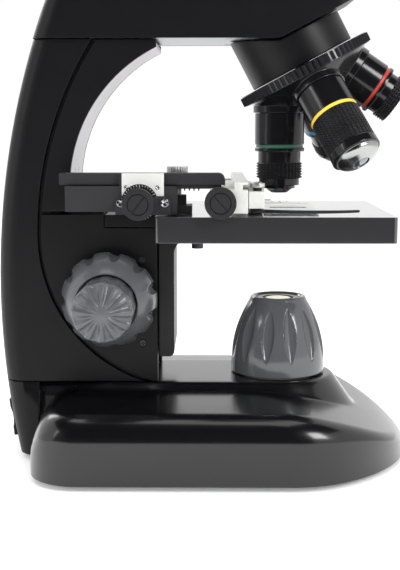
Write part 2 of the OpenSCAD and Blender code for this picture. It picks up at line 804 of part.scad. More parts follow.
module long_rail() color(silver) on_axis() {
    difference() {
        union() {
            block([-50, rail_y0, 133.4], [52, rail_y1, rail_top_z]);
            for (x = [-50, 46]) block([x, -35, 125], [x + 6, rail_y1, 136.5]);
            block([bar_x0, bar_y1 + 0.02, 136], [bar_x1, rail_y1, rail_top_z]);
        }
        block([-60, rail_y1 - 2.4, 136], [60, rail_y1 + 1, 138.4]);
        rod_x(-60, 60, long_axis.x, long_axis.y, 2.05);
    }
}

module long_knob() color("#39393b") on_axis() {
    small_knob(long_axis.x, long_axis.y, 42);
    rod_x(-49, 55, long_axis.x, long_axis.y, 2);
}

// Carriage that runs in the rail's groove and holds the slide against its fixed finger
module slide_carriage() color(silver) on_axis() {
    back = rail_y1 + 0.4;
    difference() {
        union() {
            block([-44, back, 124.5], [49, -9.4, 127.6]);
            block([33, back, 124.5], [49, -9.4, 135.2]);
            block([33, back, 135], [42, -9.4, 136.4]);
            block([33, back, 135], [38, -15.2, 139.2]);
            block([-30, back, 127], [-8, -15.4, 136.9]);
            block([-30, rail_y1 - 2.1, 136.3], [38, back + 0.2, 138.1]);
            block([-44, back, 124.5], [-39.6, -2, 125.6]);
            block([-22, -34, 126.4], [-12, back + 1, 131]);
            rod_x(-22, -12, long_axis.x, long_axis.y, 4.2);
        }
        rod_x(-30, 20, long_axis.x, long_axis.y, 2.1);
        translate([finger_pin.x, finger_pin.y, 120]) cylinder(h = 30, r = 2.05);
        block([37.4, -18, 124], [50, -9, 127.2]);
    }
}

// Crescent finger on a pin through the carriage, with its thumb lever on top
module spring_finger() color("#2a2a2c") on_axis() {
    lever = 11;
    translate([finger_pin.x, finger_pin.y, 0]) {
        translate([0, 0, 125]) cylinder(h = 14, r = 2);
        translate([0, 0, 125]) cylinder(h = 1.3, r = 3.6);
        translate([0, 0, 136.9]) linear_extrude(2) {
            circle(3.4);
            translate([-lever, -1.5]) square([lever, 3]);
            translate([-lever, 0]) circle(2.4);
        }
    }
    translate([0, 0, 125]) linear_extrude(1.3) intersection() {
        difference() {
            translate([8, 12]) circle(42.4, $fn = 180);
            translate([-8, 16.2]) circle(54.8, $fn = 180);
        }
        translate([25, -13]) square([40, 60]);
    }
}

module specimen_slide() color("#e6eef0") on_axis() {
    block([-39.2, -9.1, slide_z], [36.8, 16.9, slide_z + 1]);
    block([-9, -5, slide_z + 1], [9, 13, slide_z + 1.15]);
}

// ---------------------------------------------------------------- nosepiece

// Frame whose +Z runs down the nosepiece axis from the point where the objective axes meet
module on_nose() translate([0, 0, apex_z]) rotate([180 + nose_tilt, 0, 0]) children();

// Frame of one objective: +Z runs down its axis from its seat
module on_seat(turn) on_nose() rotate(turn) rotate([-nose_tilt, 0, 0]) translate([0, 0, seat_d]) children();

module nose_mount() color("#3a3b3e") on_axis() difference() {
    intersection() {
        on_nose() translate([0, 0, -20]) cylinder(h = 43.4, r = 27);
        along_x(-40, 40) polygon([
            [-70, 150], [70, 150], [70, 243.6], [-1.7, 205.5], [-70, 205.5]
        ]);
    }
    on_nose() cylinder(h = 40, r = 4.1);
    cylinder(h = 300, r = 9);
}

module turret() color("#2f3033") on_axis() {
    on_nose() {
        difference() {
            union() {
                rotate_extrude() intersection() {
                    difference() {
                        circle(43, $fn = 180);
                        circle(38, $fn = 180);
                    }
                    translate([0, 26]) square([34, 20]);
                }
                difference() {
                    translate([0, 0, 23.8]) cylinder(h = 5.2, r = 34.2);
                    translate([0, 0, 23]) cylinder(h = 7, r = 30.5);
                }
                for (t = [0 : 90 : 270]) rotate(t) rotate([-nose_tilt, 0, 0])
                    translate([0, 0, 39]) cylinder(h = seat_d - 39 - 0.05, r = 13.2);
                translate([0, 0, 30]) cylinder(h = 12, r = 8);
            }
            for (t = [0 : 90 : 270]) rotate(t) rotate([-nose_tilt, 0, 0])
                translate([0, 0, 30]) cylinder(h = 20, r = 10.1);
        }
        translate([0, 0, 12]) cylinder(h = 20, r = 4);
    }
}

// Stacked barrel from its seat; each step is [length, radius]
module barrel(steps, from = 0, i = 0) {
    if (i < len(steps)) {
        translate([0, 0, from]) cylinder(h = steps[i][0], r = steps[i][1]);
        barrel(steps, from + steps[i][0], i + 1);
    }
}

module objective(turn, steps, tip, tip_r, nose_r) on_seat(turn) difference() {
    union() {
        barrel(steps);
        translate([0, 0, -4.4]) cylinder(h = 4.5, r = 10);
        translate([0, 0, tip[0] - 0.1]) cylinder(h = tip[1] + 0.1, r1 = tip_r, r2 = nose_r);
    }
    translate([0, 0, -6]) cylinder(h = 24, r = 7);
    translate([0, 0, tip[0] + tip[1] - 1]) cylinder(h = 3, r = nose_r - 1);
}

module objective_4x() color("#26262a") on_axis()
    objective(180, [[12, 12.3], [1.5, 11.6], [1.7, 12.4], [4, 10.6], [6.4, 11.1]], [25.6, 3.4], 9.6, 7);

module objective_10x() color("#26262a") on_axis()
    objective(-90, [[14, 12.3], [19, 11.2], [5, 12.1]], [38, 5], 10.8, 7);

module objective_20x() color("#26262a") on_axis()
    objective(0, [[15.8, 12.3], [1.5, 11.66], [1.7, 12.4], [5.55, 10.6], [7.85, 11.1], [3.4, 10.15], [1.7, 8]],
        [37.5, 2.2], 5.8, 4.1);

module objective_40x() color("#26262a") on_axis()
    objective(90, [[15.8, 12.3], [1.5, 11.6], [1.7, 12.4], [8, 10.8], [8, 11.1], [3, 9]], [38, 4], 6.5, 3);

// ---------------------------------------------------------------- head

// Convex outline with round corners, drawn in by i
module soft_polygon(points, r, i = 0) {
    n = len(points);
    inward = [for (k = [0 : n - 1]) let (e = points[(k + 1) % n] - points[k]) [-e.y, e.x] / norm(e)];
    core = [for (k = [0 : n - 1]) let (a = inward[(k + n - 1) % n], b = inward[k])
        points[k] + (a + b) * r / (1 + a * b)];
    polygon(core);
    for (k = [0 : n - 1]) {
        out = inward[k] * (i - r);
        polygon([core[k], core[k] + out, core[(k + 1) % n] + out, core[(k + 1) % n]]);
        translate(core[k]) circle(r - i);
    }
}

// Side outline of the head, drawn in by i
module head_outline(i) {
    low = arm_top_z + 0.4;
    soft_polygon([
        [-120.6, low], [-1.7, low], [39, low + 21.6], [40, 248], [14, head_top_z], [-84, head_top_z], [-104, 248]
    ], 9, i);
    intersection() {
        translate([-130, low + i]) square([100, 16]);
        translate(back_c) circle(back_r - i, $fn = 720);
    }
}

module head_solid(i) intersection() {
    along_x(-head_w + i, head_w - i) head_outline(i);
    translate([0, 0, 200]) linear_extrude(80) round_rect([-head_w + i, -140], [head_w - i, 40.5 - i], 16 - i);
    along_y(-140, 60) round_rect([-head_w + i, 180], [head_w - i, head_top_z - i], 14 - i);
    arm_sweep(i, head_w);
}

module head_shell() color(black) on_axis() difference() {
    head_solid(0);
    head_solid(wall);
    block([-head_w + wall, -110, 200], [head_w - wall, -12, arm_top_z + 3.4]);
    translate([0, 0, 200]) cylinder(h = 30, r = 13);
    translate([0, swivel_y, 240]) cylinder(h = 40, r = 8);
}

module head_floor() color("#6d6f72") on_axis() difference() {
    block([-head_w + wall + 0.2, -109.8, arm_top_z + 0.42], [head_w - wall - 0.2, -12.2, arm_top_z + 3.3]);
    for (x = [-22, 22], y = [-96, -26]) translate([x, y, 200]) cylinder(h = 20, r = 1.7);
}

module camera_module() color("#1f5a3a") on_axis() difference() {
    union() {
        block([-22, -22, 246], [22, 22, 247.6]);
        block([-13, -13, 236], [13, 13, 246]);
        translate([0, 0, 213]) cylinder(h = 23.1, r = 11);
    }
    translate([0, 0, 211]) cylinder(h = 26, r = 8.5);
}

module swivel_collar() color(black) on_axis() difference() {
    union() {
        translate([0, swivel_y, head_top_z + 0.35]) cylinder(h = 5, r = 25);
        translate([0, swivel_y, 246]) cylinder(h = 20, r = 7.9);
        translate([0, swivel_y, 254]) cylinder(h = 4.8, r = 12);
        both_sides() along_x(10, 15) {
            translate([swivel_y - 5, head_top_z + 5]) square([10, pivot_z - head_top_z - 5]);
            translate([swivel_y, pivot_z]) circle(5);
        }
    }
    translate([0, swivel_y, 240]) cylinder(h = 22, r = 4);
    rod_x(-20, 20, swivel_y, pivot_z, 2.05);
}

// Frame of the screen: its hinge along X, +Z up the panel, the display facing -Y
module on_screen() translate([0, swivel_y, pivot_z]) rotate([-screen_lean, 0, 0]) children();

module screen_back() color(black) on_axis() on_screen() {
    difference() {
        along_y(-5, 7) round_rect([-screen_w / 2, 6], [screen_w / 2, 6 + screen_h], 7);
        along_y(-6, 5) round_rect([-screen_w / 2 + 2.5, 8.5], [screen_w / 2 - 2.5, 3.5 + screen_h], 4.5);
        for (x = [-30 : 6 : 30]) block([x - 1, 0, 62], [x + 1, 20, 78]);
    }
    difference() {
        union() {
            rod_x(-9.6, 9.6, 0, 0, 4.6);
            block([-9.6, -3, 0], [9.6, 4, 7]);
        }
        rod_x(-20, 20, 0, 0, 2.02);
    }
    rod_x(-16, 16, 0, 0, 2);
}

module screen_bezel() color("#2b2b2e") on_axis() on_screen() difference() {
    along_y(-8, -5.05) round_rect([-screen_w / 2, 6], [screen_w / 2, 6 + screen_h], 7);
    block([-screen_w / 2 + 7, -9, 17], [screen_w / 2 - 7, -4, screen_h]);
    translate([52, 0, 12.6]) rotate([90, 0, 0]) cylinder(h = 20, r = 3.3);
}

module screen_glass() color("#101418") on_axis() on_screen()
    block([-screen_w / 2 + 7.1, -7.2, 17.1], [screen_w / 2 - 7.1, -5.1, screen_h - 0.1]);

module screen_button() color(grey) on_axis() on_screen() translate([52, -3.6, 12.6]) rotate([90, 0, 0]) {
    cylinder(h = 5.4, r = 3);
    cylinder(h = 1, r = 3.8);
}

base_shell();
bottom_plate();
rubber_feet();
bottom_screws();
led_board();
lamp_lens();
lamp_hood();
hood_ring();
power_switch();
dimmer_wheel();
dc_inlet();
driver_board();
arm_frame();
rear_shell();
arm_cover_right();
arm_cover_left();
front_strip();
focus_cover_right();
focus_cover_left();
cover_screws();
column_cap();
guide_rails();
shaft_bushes();
coarse_shaft();
coarse_knob_right();
coarse_knob_left();
fine_shaft();
fine_knob_right();
fine_knob_left();
lift_block();
stage_carrier();
stage_plate();
stage_screws();
condenser_lens();
diaphragm_disc();
slide_guide();
guide_plate();
guide_screws();
clamp_screw();
cross_bar();
cross_knob();
long_rail();
long_knob();
slide_carriage();
spring_finger();
specimen_slide();
nose_mount();
turret();
objective_4x();
objective_10x();
objective_20x();
objective_40x();
head_floor();
head_shell();
camera_module();
swivel_collar();
screen_back();
screen_bezel();
screen_glass();
screen_button();
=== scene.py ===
"""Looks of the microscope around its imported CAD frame: meshes, materials, light and camera."""
import json
import math

import bmesh
import bpy
import numpy as np
from mathutils import Matrix, Vector

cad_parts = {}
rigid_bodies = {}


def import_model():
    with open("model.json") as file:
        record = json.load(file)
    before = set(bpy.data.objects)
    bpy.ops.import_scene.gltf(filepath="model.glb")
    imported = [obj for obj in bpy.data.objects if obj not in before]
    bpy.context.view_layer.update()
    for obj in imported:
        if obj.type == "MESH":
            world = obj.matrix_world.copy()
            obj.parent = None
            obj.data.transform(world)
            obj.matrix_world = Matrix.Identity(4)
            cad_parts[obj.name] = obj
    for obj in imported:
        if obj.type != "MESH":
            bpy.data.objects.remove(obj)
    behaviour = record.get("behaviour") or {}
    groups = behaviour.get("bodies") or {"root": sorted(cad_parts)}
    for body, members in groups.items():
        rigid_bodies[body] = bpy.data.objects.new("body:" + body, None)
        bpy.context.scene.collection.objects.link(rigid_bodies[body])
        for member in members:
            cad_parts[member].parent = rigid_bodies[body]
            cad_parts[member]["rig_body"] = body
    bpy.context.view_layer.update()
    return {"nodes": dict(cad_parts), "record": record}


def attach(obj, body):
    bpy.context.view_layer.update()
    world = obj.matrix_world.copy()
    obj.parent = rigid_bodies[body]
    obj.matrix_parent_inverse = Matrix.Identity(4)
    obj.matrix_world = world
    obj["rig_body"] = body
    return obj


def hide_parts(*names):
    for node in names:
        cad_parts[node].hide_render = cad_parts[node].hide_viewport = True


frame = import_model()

NODES = frame["nodes"]
SLOT = {s["node"]: s["material_slot"] for s in frame["record"]["subparts"]}
# The code below works in millimetres from the optical axis, which is this far along Y in the frame.
OPTIC_Y = 36.9
HOME = Matrix.Translation((0, OPTIC_Y / 1000, 0)) @ Matrix.Diagonal((0.001, 0.001, 0.001, 1))
TAU = 2 * math.pi
# Radius in metres over which shading softens every edge.
EDGE = 0.0004


# ---------------------------------------------------------------- materials


def lin(hex_colour):
    """Linear colour of an sRGB hex string."""
    out = []
    for i in (1, 3, 5):
        c = int(hex_colour[i:i + 2], 16) / 255
        out.append(c / 12.92 if c < 0.04045 else ((c + 0.055) / 1.055) ** 2.4)
    return (*out, 1.0)


def node(tree, kind, **inputs):
    n = tree.nodes.new(kind)
    for key, value in inputs.items():
        n.inputs[key.replace("_", " ")].default_value = value
    return n


def material(name, colour, rough, metal=0.0, spec=0.3, grain=(2500, 0.05), smear=(1, 1, 1),
             vary=0.12, mottle=0.06, coat=0.0, glass=0.0, glow=0.0, ior=1.45):
    """Principled material with fine grain in the surface, uneven gloss and slight colour mottling."""
    m = bpy.data.materials.new(name)
    m.use_nodes = True
    t = m.node_tree
    b = t.nodes["Principled BSDF"]
    base = lin(colour)
    b.inputs["Metallic"].default_value = metal
    b.inputs["Specular IOR Level"].default_value = spec
    b.inputs["Coat Weight"].default_value = coat
    b.inputs["Coat Roughness"].default_value = 0.12
    b.inputs["Transmission Weight"].default_value = glass
    b.inputs["IOR"].default_value = ior
    if glow:
        b.inputs["Emission Color"].default_value = base
        b.inputs["Emission Strength"].default_value = glow
    place = node(t, "ShaderNodeTexCoord")
    stretch = node(t, "ShaderNodeMapping", Scale=smear)
    t.links.new(place.outputs["Object"], stretch.inputs["Vector"])
    fine = node(t, "ShaderNodeTexNoise", Scale=grain[0], Detail=4.0, Roughness=0.6)
    t.links.new(stretch.outputs["Vector"], fine.inputs["Vector"])
    bump = node(t, "ShaderNodeBump", Strength=grain[1], Distance=0.0002)
    edge = node(t, "ShaderNodeBevel", Radius=EDGE)
    edge.samples = 6
    t.links.new(edge.outputs["Normal"], bump.inputs["Normal"])
    t.links.new(fine.outputs["Fac"], bump.inputs["Height"])
    t.links.new(bump.outputs["Normal"], b.inputs["Normal"])
    broad = node(t, "ShaderNodeTexNoise", Scale=55.0, Detail=5.0, Roughness=0.65)
    t.links.new(place.outputs["Object"], broad.inputs["Vector"])
    gloss = node(t, "ShaderNodeMapRange")
    gloss.inputs["To Min"].default_value = max(0.02, rough * (1 - vary))
    gloss.inputs["To Max"].default_value = min(1.0, rough * (1 + vary))
    t.links.new(broad.outputs["Fac"], gloss.inputs["Value"])
    t.links.new(gloss.outputs["Result"], b.inputs["Roughness"])
    tint = node(t, "ShaderNodeMix")
    tint.data_type = "RGBA"
    tint.inputs[6].default_value = tuple(c * (1 - mottle) for c in base[:3]) + (1,)
    tint.inputs[7].default_value = tuple(min(1, c * (1 + mottle)) for c in base[:3]) + (1,)
    t.links.new(broad.outputs["Fac"], tint.inputs[0])
    t.links.new(tint.outputs[2], b.inputs["Base Color"])
    return m


M = {
    "arm_black": material("arm_black", "#0a0a0c", 0.4, spec=0.25, grain=(2600, 0.10)),
    "base_black": material("base_black", "#08080a", 0.24, spec=0.5, grain=(1800, 0.03), vary=0.15, coat=0.4),
    "carrier_black": material("carrier_black", "#151517", 0.4, spec=0.3, grain=(3000, 0.12)),
    "plate_black": material("plate_black", "#242426", 0.15, spec=0.6, grain=(3200, 0.06), coat=1.0),
    "cast_black": material("cast_black", "#202022", 0.55, spec=0.35, grain=(3600, 0.75), mottle=0.2),
    "knob_black": material("knob_black", "#1b1b1d", 0.42, spec=0.35, grain=(2500, 0.1)),
    "grey": material("grey", "#48494c", 0.24, spec=0.5, grain=(1500, 0.03), vary=0.2, coat=0.2),
    "hood_grey": material("hood_grey", "#46474a", 0.13, spec=0.55, grain=(900, 0.02), vary=0.2, coat=0.5),
    "lacquer": material("lacquer", "#0e0e10", 0.16, spec=0.4, grain=(900, 0.03), vary=0.3, coat=0.2),
    "knurl": material("knurl", "#151517", 0.34, spec=0.4, grain=(2500, 0.1)),
    "satin_chrome": material("satin_chrome", "#a6a7a6", 0.2, metal=1.0, grain=(900, 0.08), smear=(8, 8, 1)),
    "silver": material("silver", "#d6d6d2", 0.42, metal=0.55, grain=(420, 0.35), smear=(1, 1, 14)),
    "fine_silver": material("fine_silver", "#d2d3d1", 0.3, metal=1.0, grain=(500, 0.2), smear=(12, 1, 12)),
    "chrome": material("chrome", "#dedfe1", 0.12, metal=1.0, grain=(900, 0.05)),
    "dark_screw": material("dark_screw", "#3a3a3d", 0.33, metal=0.7, grain=(1500, 0.15)),
    "steel": material("steel", "#9b9ea2", 0.42, metal=1.0, grain=(350, 0.25), smear=(1, 9, 1)),
    "cast_metal": material("cast_metal", "#8d8f92", 0.55, metal=0.9, grain=(1800, 0.5)),
    "brass": material("brass", "#b39552", 0.3, metal=1.0, grain=(600, 0.2), smear=(9, 1, 1)),
    "strip": material("strip", "#cfccd0", 0.4, spec=0.35, grain=(2200, 0.08)),
    "rubber": material("rubber", "#18181a", 0.8, spec=0.2, grain=(1200, 0.5)),
    "board": material("board", "#1d5a38", 0.35, spec=0.5, grain=(1400, 0.4), mottle=0.25),
    # Its glow is the LED's own light on the led board, and a painted reflection on the hood's front lens.
    "lamp": material("lamp", "#f4efdc", 0.4, glow=0.5),
    "clear": material("clear", "#f2f7f7", 0.03, glass=1.0, spec=0.5, grain=(60, 0.01), ior=1.5),
    "coated": material("coated", "#1a2230", 0.06, spec=0.9, grain=(60, 0.01), coat=1.0),
    "white": material("white", "#e9e9e6", 0.5, grain=(1500, 0.08)),
    "green": material("green", "#26523f", 0.35, spec=0.45, grain=(1500, 0.08)),
    "red": material("red", "#a33026", 0.35, spec=0.45, grain=(1500, 0.08)),
    "yellow": material("yellow", "#d2b23a", 0.35, spec=0.45, grain=(1500, 0.08)),
    "blue": material("blue", "#5fa3c9", 0.35, spec=0.45, grain=(1500, 0.08)),
    "dark": material("dark", "#0c0c0d", 0.5, spec=0.25, grain=(1500, 0.1)),
    "label": material("label", "#e6e4da", 0.7, grain=(1800, 0.1), mottle=0.03),
    "stain": material("stain", "#b56a94", 0.5, grain=(1200, 0.1), mottle=0.35),
    "panel": material("panel", "#07090b", 0.08, spec=0.5, grain=(40, 0.01), coat=0.4),
}


# ---------------------------------------------------------------- mesh tools


def add(name, verts, faces, mats, body, slot, stands_for=(), where=None, pick=None, sharp=34):
    """A closed mesh piece given in millimetres, riding on its body. pick gives each face's material."""
    mesh = bpy.data.meshes.new(name)
    mesh.from_pydata([tuple(map(float, v)) for v in verts], [], [tuple(int(i) for i in f) for f in faces])
    bm = bmesh.new()
    bm.from_mesh(mesh)
    bmesh.ops.recalc_face_normals(bm, faces=bm.faces)
    if pick:
        for f in bm.faces:
            f.material_index = pick(f.calc_center_median())
    bm.to_mesh(mesh)
    bm.free()
    place = HOME @ (where or Matrix.Identity(4))
    mesh.transform(place)
    if place.determinant() < 0:
        mesh.flip_normals()
    return finish_piece(name, mesh, mats, body, slot, stands_for, sharp)


def finish_piece(name, mesh, mats, body, slot, stands_for=(), sharp=34):
    for key in mats if isinstance(mats, (list, tuple)) else [mats]:
        mesh.materials.append(M[key])
    mesh.shade_smooth()
    mesh.set_sharp_from_angle(angle=math.radians(sharp))
    piece = bpy.data.objects.new(name, mesh)
    bpy.context.scene.collection.objects.link(piece)
    weighted = piece.modifiers.new("weighted", "WEIGHTED_NORMAL")
    weighted.keep_sharp = True
    weighted.weight = 60
    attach(piece, body)
    if stands_for:
        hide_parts(*stands_for)
    return piece


# How far a face's triangles may differ from the face, in square metres, and the whole skin from the CAD's.
FACE_SLIP = 1e-6
SKIN_SLIP = 0.06
# Points closer than this many metres are one point.
SAME = 2e-6


def sound(bm, area):
    """Whether every face fills its own outline and the whole skin keeps its area."""
    filled = {}
    for a, b, c in bm.calc_loop_triangles():
        one = b.vert.co - a.vert.co
        two = c.vert.co - a.vert.co
        filled[a.face] = filled.get(a.face, 0.0) + one.cross(two).length / 2
    if any(abs(v - f.calc_area()) > FACE_SLIP for f, v in filled.items()):
        return False
    return abs(sum(filled.values()) - area) < SKIN_SLIP * area


def edged(source, bevel, angle, segments, flat):
    """The mesh with coplanar faces merged and its sharp edges rounded over bevel millimetres."""
    bm = bmesh.new()
    bm.from_mesh(source.data)
    bmesh.ops.remove_doubles(bm, verts=bm.verts, dist=SAME)
    bmesh.ops.dissolve_degenerate(bm, edges=bm.edges, dist=SAME)
    area = sum(f.calc_area() for f in bm.faces)
    if flat:
        bmesh.ops.dissolve_limit(bm, angle_limit=math.radians(flat), verts=bm.verts, edges=bm.edges)
    if bevel:
        edges = [e for e in bm.edges if len(e.link_faces) == 2
                 and e.calc_face_angle(0) > math.radians(angle) and e.calc_length() > 1e-4]
        bmesh.ops.bevel(bm, geom=edges, offset=bevel / 1000, segments=segments, profile=0.5,
                        affect="EDGES", clamp_overlap=False, miter_outer="ARC")
    return bm, area


def dress(name, mats, bevel=0.3, pick=None, angle=26, segments=2, flat=0.7, sharp=34):
    """The CAD node's shape rebuilt with clean flat faces and softly rounded edges; bevel in millimetres.

    Where a bevel would break the skin, smaller ones and less merging of faces are tried in turn.
    """
    source = NODES[name]
    tries = [(1, flat), (0.6, flat), (0.6, 0.1), (0.35, 0.1), (0.35, 0), (0, flat), (0, 0)]
    for share, merge in tries:
        bm, area = edged(source, bevel * share, angle, segments, merge)
        if sound(bm, area) or (share, merge) == tries[-1]:
            break
        bm.free()
    mesh = bpy.data.meshes.new("v_" + name)
    for f in bm.faces:
        f.material_index = 0
        if pick:
            c = f.calc_center_median()
            f.material_index = pick(Vector((c.x * 1000, c.y * 1000 - OPTIC_Y, c.z * 1000)), f.normal)
    bm.to_mesh(mesh)
    bm.free()
    return finish_piece("v_" + name, mesh, mats, source["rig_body"], SLOT[name], (name,), sharp)


def soft(points, b=0.3, k=3, ends=False):
    """A profile whose corners are rounded over b millimetres in k steps; with ends it closes on itself."""
    pts = [np.array(p, float) for p in points]
    if ends:
        loop = list(zip(pts[-1:] + pts[:-1], pts, pts[1:] + pts[:1]))
        out = []
    else:
        loop = list(zip(pts, pts[1:], pts[2:]))
        out = [pts[0]]
    for p, c, q in loop:
        u, v = p - c, q - c
        lu, lv = np.linalg.norm(u), np.linalg.norm(v)
        d = min(b, 0.45 * lu, 0.45 * lv)
        a, e = c + u / lu * d, c + v / lv * d
        for t in np.linspace(0, 1, k + 1):
            out.append((1 - t) ** 2 * a + 2 * t * (1 - t) * c + t * t * e)
    if not ends:
        out.append(pts[-1])
    return out


def lathe(profile, n=96, bend=None, closed=False):
    """A profile of (radius, height) turned about Z. bend(r, z, t) moves the points of a ring."""
    t = np.arange(n) * TAU / n
    verts, faces, rings = [], [], []
    for r, z in profile:
        if r < 1e-4:
            rings.append([len(verts)])
            verts.append((0, 0, z))
            continue
        rr, zz = bend(r, z, t) if bend else (np.full(n, r), np.full(n, z))
        rr, zz = np.broadcast_to(rr, n), np.broadcast_to(zz, n)
        rings.append(list(range(len(verts), len(verts) + n)))
        verts.extend(zip(rr * np.cos(t), rr * np.sin(t), zz))
    for a, b in zip(rings, rings[1:] + (rings[:1] if closed else [])):
        if len(a) == 1 and len(b) == 1:
            continue
        for j in range(n):
            k = (j + 1) % n
            if len(a) == 1:
                faces.append((a[0], b[j], b[k]))
            elif len(b) == 1:
                faces.append((a[j], b[0], a[k]))
            else:
                faces.append((a[j], a[k], b[k], b[j]))
    return verts, faces


def box(a, b, r=0.15):
    """Box from corner to corner with chamfered edges, as vertices and faces."""
    bm = bmesh.new()
    bmesh.ops.create_cube(bm, size=1)
    a, b = Vector(a), Vector(b)
    bmesh.ops.scale(bm, vec=b - a, verts=bm.verts)
    bmesh.ops.translate(bm, vec=(a + b) / 2, verts=bm.verts)
    r = min(r, 0.3 * min(b - a))
    bmesh.ops.bevel(bm, geom=bm.edges[:], offset=r, segments=2, profile=0.5, affect="EDGES")
    bm.verts.index_update()
    out = [v.co[:] for v in bm.verts], [[v.index for v in f.verts] for f in bm.faces]
    bm.free()
    return out


def joined(parts):
    """Several (vertices, faces) lists as one."""
    verts, faces = [], []
    for v, f in parts:
        n = len(verts)
        verts += list(v)
        faces += [[i + n for i in face] for face in f]
    return verts, faces


def eased(v, low, high):
    """0 below low, 1 above high and a smooth step between."""
    k = np.clip((v - low) / (high - low), 0, 1)
    return k * k * (3 - 2 * k)


def plain(r, z, t):
    """A ring left round."""
    return np.full(len(t), r), np.full(len(t), z)


def off_phase(t, phase, count):
    """Angle from the nearest of count evenly spaced marks."""
    step = TAU / count
    return (t - phase + step / 2) % step - step / 2


def turn(degrees, axis):
    return Matrix.Rotation(math.radians(degrees), 4, axis)


def shift(x, y, z):
    return Matrix.Translation((x, y, z))


# ---------------------------------------------------------------- lamp hood

# Foot and shoulder heights, and the base radius, lean and radius of the side's arc.
HOOD_Z0, HOOD_Z1 = 40.4, 77.35
HOOD_R, HOOD_LEAN, HOOD_ARC = 19.2, 9.2, 62.0
FLUTES, FLUTE_PHASE = 12, math.radians(13.5)
FLUTE_C, FLUTE_H, FLUTE_W, FLUTE_D = 61.2, 13.4, 3.2, 2.1


def hood_radius(z):
    """Radius of the smooth side at height z."""
    c, r = BULGE
    return c[0] + math.sqrt(r * r - (z - c[1]) ** 2)


def bulge():
    """Centre and radius of the arc that the hood's side follows."""
    rise = HOOD_Z1 - HOOD_Z0
    chord = math.hypot(rise, HOOD_LEAN)
    a = math.atan2(HOOD_LEAN, rise)
    k = math.sqrt(HOOD_ARC * HOOD_ARC - chord * chord / 4)
    return (HOOD_R - k * math.cos(a), (HOOD_Z0 + HOOD_Z1) / 2 - k * math.sin(a)), HOOD_ARC


BULGE = bulge()


def hood_bend(r, z, t):
    """Flutes with round floors that run out at both ends."""
    v = (z - FLUTE_C) / FLUTE_H
    if r < 12 or not HOOD_Z0 < z < HOOD_Z1 or abs(v) >= 1:
        return plain(r, z, t)
    fade = 1 - abs(v) ** 2.0
    u = np.abs(off_phase(t, FLUTE_PHASE, FLUTES)) * r / (FLUTE_W * fade)
    cut = np.where(u < 1, FLUTE_D * np.sqrt(np.maximum(1 - u * u, 0)) * fade, 0)
    return r - cut, np.full(len(t), z)


def make_hood():
    outer = [(hood_radius(z), z) for z in np.linspace(HOOD_Z0 + 0.5, HOOD_Z1 - 0.3, 74)]
    profile = [(20.0, HOOD_Z0), (22.9, HOOD_Z0), (23.4, HOOD_Z0 + 0.15)] + outer
    profile += [(14.35, 78.0), (14.1, 78.7), (13.7, 79.2), (13.2, 79.35), (12.4, 79.2), (11.7, 78.7)]
    profile += [(11.35, 78.3), (11.2, 78), (11.2, 70.9), (20.0, 60), (20.0, 50)]
    v, f = lathe(profile, 432, hood_bend, closed=True)
    add("v_lamp_hood", v, f, "hood_grey", "hood", SLOT["lamp_hood"], ("lamp_hood",), sharp=30)
    ring = soft([(11.1, 71), (11.1, 78.2), (10.9, 78.2), (8.55, 77.9), (8.55, 71)], 0.1, 3, True)
    v, f = lathe(ring, 96, closed=True)
    add("v_hood_ring", v, f, "dark", "hood", SLOT["hood_ring"], ("hood_ring",))
    # The white ring laid on top of the hood ring is a painted highlight: matte white in place of the bright
    # rim of light inside the opening.
    face = [(10.7, 78.0), (10.7, 78.3), (8.0, 78.3), (8.0, 77.8)]
    seal = [(7.9, 77.6), (7.9, 78.35), (6.7, 78.35), (6.7, 77.6)]
    for name, points, look in (("hood_painted_highlight_ring", face, "white"), ("lens_seal", seal, "dark")):
        v, f = lathe(soft(points, 0.1, 2, True), 96, closed=True)
        add(name, v, f, look, "hood", SLOT["hood_ring"])
    # The front lens glows with the lamp material as a painted reflection: the glow stands in for the white it
    # would reflect.
    dome = [(6.6, 77.4)] + [(6.6 * math.cos(a), 77.8 + 0.75 * math.sin(a)) for a in np.linspace(0, 1.5, 9)]
    v, f = lathe([(0, 77.4)] + dome + [(0, 78.55)], 64)
    add("lens_painted_glow", v, f, "lamp", "hood", SLOT["hood_ring"])


make_hood()


# ---------------------------------------------------------------- focus knobs


# Where the right side's knobs start along X, and the height and place of their axis.
COARSE_X, FINE_X, KNOB_Y, KNOB_Z = 29.2, 47.6, -83.2, 82.3
SCALLOPS, SCALLOP_R, SCALLOP_PHASE = 11, 3.4, math.radians(8)
PETALS, PETAL_PHASE, PETAL_HALF = 12, math.radians(15), math.radians(10.5)
PETAL_SIDE, PETAL_TOP = 0.35, 1.25


def knob_place(x, side):
    """Where a knob that starts x from the middle stands, mirrored on the left."""
    where = shift(x, KNOB_Y, KNOB_Z) @ turn(90, "Y")
    return Matrix.Diagonal((-1, 1, 1, 1)) @ where if side == "left" else where


def notch(r, t, at, radius, phase, count):
    """Radius of a ring cut by evenly spaced round notches whose centres lie at the radius at."""
    d = off_phase(t, phase, count)
    s = at * np.sin(d)
    inside = np.abs(s) < radius
    cut = np.where(inside, at * np.cos(d) - np.sqrt(np.maximum(radius ** 2 - s * s, 0)), 99.0)
    return np.minimum(r, cut)


def coarse_bend(r, z, t):
    """Scalloped rim, a little shallower than its notches."""
    if r < 15:
        return plain(r, z, t)
    reach = 23.1 + 1.9 - 0.16 * max(0, z - 7)
    rr = notch(r, t, reach, SCALLOP_R, SCALLOP_PHASE, SCALLOPS)
    ease = 0.25
    return rr * (1 - ease) + np.minimum(rr, r) * ease, np.full(len(t), z)


